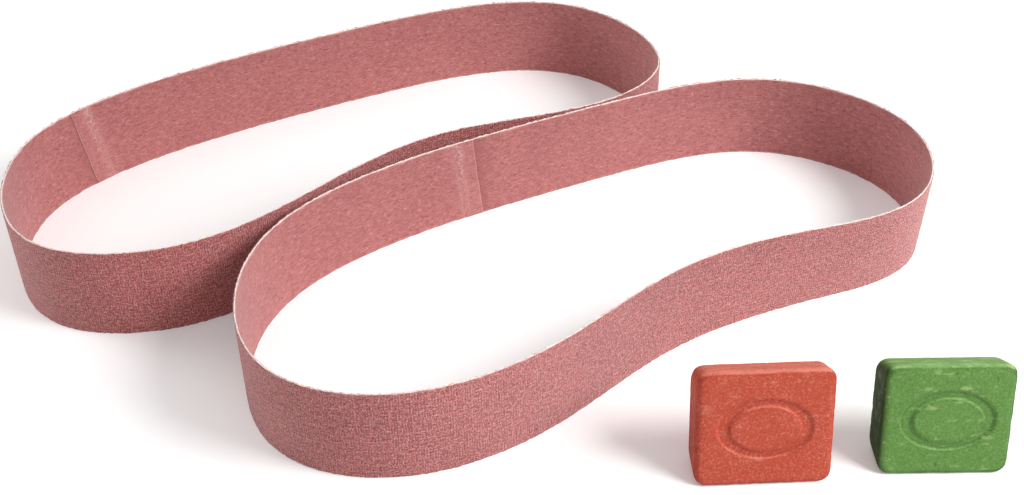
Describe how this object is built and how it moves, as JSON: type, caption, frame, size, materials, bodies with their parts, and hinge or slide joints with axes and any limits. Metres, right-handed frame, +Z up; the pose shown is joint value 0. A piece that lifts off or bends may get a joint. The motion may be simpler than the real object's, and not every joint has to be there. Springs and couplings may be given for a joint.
{
  "type": "strop belt and honing compound kit",
  "caption": "Endless strop belts with a woven face and napped lining standing on edge in kidney-shaped loops, with cast bars of red and green honing compound.",
  "frame": {"origin": "on the floor under the middle of the kit's bounding box", "axes": "+Z up, +X to the right along the belts' long way, +Y away from the compound bars, towards the back belt"},
  "size_m": [0.4809, 0.3546, 0.0528],
  "materials": {
    "woven_face": "dull pink woven cloth, fine twill with pale flecks",
    "cloth_core": "undyed white cotton seen at the cut edges",
    "napped_lining": "pink suede nap, matte, fine dark flecks",
    "joint_strip": "thin pink skived strip, matte",
    "red_compound": "waxy brick red, powdery, worn edges",
    "green_compound": "waxy leaf green, powdery, worn edges"
  },
  "bodies": {
    "front_belt": {"front_belt_woven_face": "woven_face", "front_belt_cloth_core": "cloth_core", "front_belt_napped_lining": "napped_lining", "front_belt_joint_strip": "joint_strip"},
    "back_belt": {"back_belt_woven_face": "woven_face", "back_belt_cloth_core": "cloth_core", "back_belt_napped_lining": "napped_lining", "back_belt_joint_strip": "joint_strip"},
    "red_bar": {"red_bar": "red_compound"},
    "green_bar": {"green_bar": "green_compound"}
  },
  "joints": [
    {"name": "back_belt_lift", "type": "slide", "parent": "front_belt", "child": "back_belt", "axis": [0, 0, 1], "range_m": [0, 0.15]},
    {"name": "red_bar_lift", "type": "slide", "parent": "front_belt", "child": "red_bar", "axis": [0, 0, 1], "range_m": [0, 0.15]},
    {"name": "green_bar_lift", "type": "slide", "parent": "front_belt", "child": "green_bar", "axis": [0, 0, 1], "range_m": [0, 0.15]}
  ]
}
